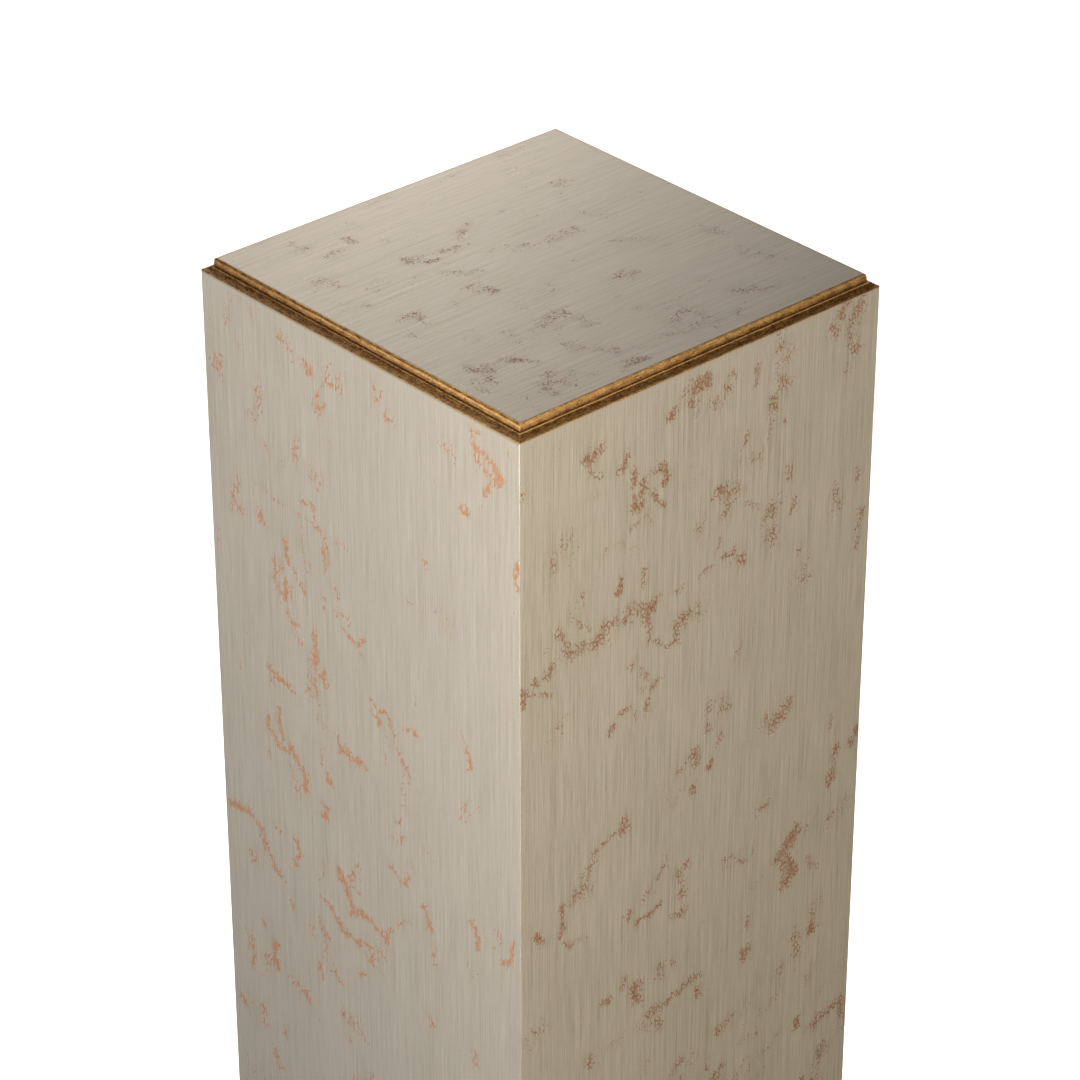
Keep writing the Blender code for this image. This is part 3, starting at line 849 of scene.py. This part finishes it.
def rim_point(angle):
    """The rounded lip, from pi at the body's face to pi/2 at the lip's top."""
    return (RIM_RADIUS + RIM_RADIUS * math.cos(angle), RIM_RADIUS * math.sin(angle))


def hollow_point(share):
    """The shallow hollow, from the lip's top at 0 to the fillet's foot at 1."""
    sag = 4 * HOLLOW_DEPTH * share * (1 - share)
    return (RIM_RADIUS + HOLLOW_WIDTH * share, RIM_RADIUS + HOLLOW_RISE * share - sag)


def bead_foot_point(angle):
    """The bead's underside, from 3/2 pi on the fillet to pi at the bead's face."""
    face = MOULDING_WIDTH - BEAD_WIDTH
    base = MOULDING_HEIGHT - BEAD_HEIGHT
    return (
        face + BEAD_FOOT_RADIUS + BEAD_FOOT_RADIUS * math.cos(angle),
        base + BEAD_FOOT_RADIUS + BEAD_FOOT_RADIUS * math.sin(angle),
    )


def bead_top_point(angle):
    """The bead's face and crown, from 0 at its widest to pi/2 on its crest."""
    out = math.cos(angle) ** (2 / BEAD_FULLNESS)
    up = math.sin(angle) ** (2 / BEAD_FULLNESS)
    widest = MOULDING_HEIGHT - BEAD_HEIGHT + BEAD_FOOT_RADIUS
    crest = MOULDING_WIDTH - BEAD_BACK_RADIUS
    reach = BEAD_WIDTH - BEAD_BACK_RADIUS
    return (crest - reach * out, widest + (MOULDING_HEIGHT - widest) * up)


def bead_back_point(angle):
    """The crest's rounded inner edge, from pi/2 at the top to 0 against the display surface."""
    return (
        MOULDING_WIDTH - BEAD_BACK_RADIUS + BEAD_BACK_RADIUS * math.cos(angle),
        MOULDING_HEIGHT - BEAD_BACK_RADIUS + BEAD_BACK_RADIUS * math.sin(angle),
    )


def moulding_outline(side):
    """The profile as (in from the face, up from the rim, how bright its gilt is, with painted highlights and
    shade).
    """
    rim = curved_points(math.pi, math.pi / 2, ARC_STEPS, rim_point)
    hollow = curved_points(0.0, 1.0, ARC_STEPS, hollow_point)[1:]
    arris = (RIM_RADIUS + HOLLOW_WIDTH, MOULDING_HEIGHT - BEAD_HEIGHT)
    foot = curved_points(1.5 * math.pi, math.pi, ARC_STEPS, bead_foot_point)
    face = curved_points(0.0, math.pi / 2, 2 * ARC_STEPS, bead_top_point)[1:]
    back = curved_points(math.pi / 2, 0.0, BACK_STEPS, bead_back_point)[1:]
    outline = [(x, y, gilding_at(RIM_TONE_AND_SHEEN, y / RIM_RADIUS)) for x, y in rim]
    outline += [(x, y, gilding_at(HOLLOW_PATINA_AND_SHADE, (x - RIM_RADIUS) / HOLLOW_WIDTH)) for x, y in hollow]
    # the fillet's arris carries a painted highlight line
    fillet = FILLET_TONE_AND_SHEEN[side]
    outline.append((arris[0], arris[1] - FILLET_RISER, FILLET_EDGE * fillet))
    outline.append((arris[0] + FILLET_SOFTNESS, arris[1], fillet))
    outline.append((arris[0] + FILLET_FLAT, arris[1], FILLET_EDGE * fillet))
    outline += [(x, y, RECESS_PATINA_AND_SHADE) for x, y in foot]
    # the bead's rubbed crest and painted highlights, as lit on this side
    for x, y in face:
        outline.append((x, y, gilding_at(BEAD_RUB_AND_SHEEN[side], (y - arris[1]) / BEAD_HEIGHT)))
    outline += [(x, y, CREST_RUB_AND_SHEEN) for x, y in back]
    outline.append((MOULDING_WIDTH, 0.0, HIDDEN_GILDING))
    return outline


def gilding_at(steps, share):
    """How bright the gilt is at a share of the way along a member, painted highlights and shade included."""
    shares, values = zip(*steps)
    return float(np.interp(share, shares, values))


def add_moulding(turn, gilt):
    """One mitred length of moulding, turned into its place."""
    side = SIDES[turn]
    outline = list(reversed(moulding_outline(side)))
    mitre = 1.0 - MITRE_HIGHLIGHT_REACH / HALF_WIDTH
    stations = [-1.0, *even_points(-mitre, mitre, MOULDING_STEP / HALF_WIDTH), 1.0]
    rings = [
        [(share * (HALF_WIDTH - x), x - HALF_WIDTH, RIM_LEVEL + y) for x, y, _ in outline]
        for share in stations
    ]
    mesh = solid_from_rings(side + "_gilt", rings)
    round_profile = np.cumsum([0.0] + [math.dist(a[:2], b[:2]) for a, b in zip(outline, outline[1:])])
    along = points_of(mesh)[:, 0]
    set_place(mesh, np.tile(round_profile, len(stations)), along, len(SIDES) + 1 + turn)
    gilt_tone_and_light = np.tile([point[2] for point in outline], (len(stations), 1))
    # painted highlight down the mitres
    gilt_tone_and_light[[0, -1]] *= MITRE_HIGHLIGHT
    front_corner = 1.0 if side == "front" else -1.0
    far = 0.5 * np.abs(np.array(stations)[:, None] - front_corner)  # from 0 at that corner to 1
    # painted shade, darker away from the front corner
    gilt_tone_and_light *= 1.0 - FAR_PAINTED_SHADE[side] * far
    # the gilt's tone together with its painted highlights and painted shade
    set_number(mesh, "gilt_tone_and_light", gilt_tone_and_light.ravel())
    mesh.transform(Matrix.Rotation(turn * math.pi / 2, 4, "Z"))
    make_piece(side + "_gilt", mesh, (gilt,), [side + "_moulding"])


def wear_of_faces():
    """The trails of each side and of the top: first the listed ones, then the scattered ones."""
    wear = {
        "front": trails_on_face(FRONT_TRAILS, Y, -HALF_WIDTH, X, Z, -1),
        "right": trails_on_face(RIGHT_TRAILS, X, HALF_WIDTH, Y, Z, -1),
        "back": [],
        "left": [],
        "top": trails_on_face(TOP_TRAILS, Z, MOULDING_HEIGHT, X, Y, 1),
    }
    for face, rules in SCATTERED.items():
        for rule in rules:
            wear[face] += scattered_trails(*rule)
    wear["top"] = [(width, TOP_FAINTNESS * strength, *route) for width, strength, *route in wear["top"]]
    return wear


def add_pedestal():
    """The nine pieces."""
    bare = bare_wood_material()
    orange = silver_material(
        "silver_leaf_orange_clay", SILVER, CLAY_ORANGE, ORANGE_STAIN, boldness=0.97, toning=0.12, grime_and_rim_shadow=0.5,
        breakage=0.34, cell=3.6 * MM, stretch=2.1, lean=12.0,
    )
    brown = silver_material(
        "silver_leaf_brown_clay", SILVER, CLAY_BROWN, STAIN_AND_RIM_SHADOW, boldness=1.2, toning=0.2, grime_and_rim_shadow=0.15,
        breakage=0.36, cell=2.7 * MM, stretch=1.6, lean=-15.0,
    )
    dark = silver_material(
        "silver_leaf_dark_clay", TOP_SILVER, CLAY_DARK, STAIN_AND_RIM_SHADOW, boldness=0.85, toning=0.4, grime_and_rim_shadow=0.0,
        breakage=0.38, cell=2.3 * MM, stretch=1.6, lean=0.0,
    )
    wear = wear_of_faces()
    add_side(0, wear["front"], ORANGE_STROKES, orange, bare)
    add_side(1, wear["right"], BROWN_STROKES, brown, bare)
    add_side(2, wear["back"], BROWN_STROKES, brown, bare)
    add_side(3, wear["left"], ORANGE_STROKES, orange, bare)
    add_display_top(wear["top"], dark, bare)
    gilt = gilt_material()
    for turn in range(len(SIDES)):
        add_moulding(turn, gilt)


def add_floor():
    """A wide plain floor that the pedestal stands on but doesn't mirror."""
    half = FLOOR_HALF
    mesh = bpy.data.meshes.new("floor")
    corners = [(-half, -half, 0), (half, -half, 0), (half, half, 0), (-half, half, 0)]
    mesh.from_pydata(corners, [], [(0, 1, 2, 3)])
    points = points_of(mesh)
    set_place(mesh, points[:, 0], points[:, 1], 0)
    mesh.materials.append(floor_material())
    floor = bpy.data.objects.new("floor", mesh)
    bpy.context.scene.collection.objects.link(floor)
    seen_by_camera_alone(floor)
    return floor


def add_camera():
    """The photograph's view of the pedestal's upper half, from above its front corner."""
    data = bpy.data.cameras.new("camera")
    data.lens = CAMERA_LENS
    data.sensor_width = CAMERA_SENSOR
    camera = bpy.data.objects.new("camera", data)
    camera.location = CAMERA_OFFSET + Vector((0.0, 0.0, RIM_LEVEL))
    camera.rotation_euler = (math.pi / 2 - CAMERA_TILT, 0.0, CAMERA_YAW)
    bpy.context.scene.collection.objects.link(camera)
    bpy.context.scene.camera = camera


def add_softbox(name, place, size, power, colour):
    """A square soft light aimed at the top of the pedestal, out of the camera's sight."""
    data = bpy.data.lights.new(name, "AREA")
    data.shape = "SQUARE"
    data.size = size
    data.energy = power
    data.color = colour
    lamp = bpy.data.objects.new(name, data)
    lamp.location = place
    aim = Vector((0.0, 0.0, TOP_LEVEL)) - lamp.location
    lamp.rotation_euler = aim.to_track_quat("-Z", "Y").to_euler()
    lamp.visible_camera = False
    bpy.context.scene.collection.objects.link(lamp)


def light_place(azimuth, elevation, distance):
    """Where a light stands, seen from the middle of the display surface."""
    turn = math.radians(azimuth)
    rise = math.radians(elevation)
    return (
        distance * math.sin(turn) * math.cos(rise),
        -distance * math.cos(turn) * math.cos(rise),
        TOP_LEVEL + distance * math.sin(rise),
    )


def add_floor_light(floor):
    """A soft light from above that only the floor takes, which keeps it pale."""
    data = bpy.data.lights.new("floor_light", "SUN")
    data.energy = FLOOR_LIGHT
    data.angle = FLOOR_LIGHT_SPREAD
    lamp = bpy.data.objects.new("floor_light", data)
    lit = bpy.data.collections.new("lit_by_floor_light")
    lit.objects.link(floor)
    lamp.light_linking.receiver_collection = lit
    bpy.context.scene.collection.objects.link(lamp)


def add_backdrop():
    """A white dome far off, which lights nothing."""
    work = bmesh.new()
    bmesh.ops.create_uvsphere(work, u_segments=48, v_segments=24, radius=BACKDROP_RADIUS)
    mesh = bpy.data.meshes.new("backdrop")
    work.to_mesh(mesh)
    work.free()
    material = bpy.data.materials.new("backdrop")
    material.use_nodes = True
    shader = material.node_tree.nodes["Principled BSDF"]
    shader.inputs["Base Color"].default_value = rgba(BLACK)
    shader.inputs["Specular IOR Level"].default_value = 0.0
    shader.inputs["Emission Color"].default_value = rgba(WHITE)
    shader.inputs["Emission Strength"].default_value = 1.0
    mesh.materials.append(material)
    dome = bpy.data.objects.new("backdrop", mesh)
    bpy.context.scene.collection.objects.link(dome)
    seen_by_camera_alone(dome)


def seen_by_camera_alone(piece):
    """Keeps a piece of the stage out of the pedestal's light and reflections."""
    piece.visible_diffuse = False
    piece.visible_glossy = False
    piece.visible_transmission = False
    piece.visible_shadow = False


def add_world():
    """The studio's faint even light."""
    world = bpy.data.worlds.new("studio")
    world.use_nodes = True
    background = world.node_tree.nodes["Background"]
    background.inputs["Color"].default_value = rgba(WHITE)
    background.inputs["Strength"].default_value = STUDIO_LIGHT
    bpy.context.scene.world = world


def main():
    bpy.context.scene.view_settings.view_transform = "Standard"
    add_camera()
    add_pedestal()
    floor = add_floor()
    add_floor_light(floor)
    add_backdrop()
    add_world()
    for name, azimuth, elevation, distance, size, power, colour in SOFTBOXES:
        add_softbox(name, light_place(azimuth, elevation, distance), size, power, colour)


main()
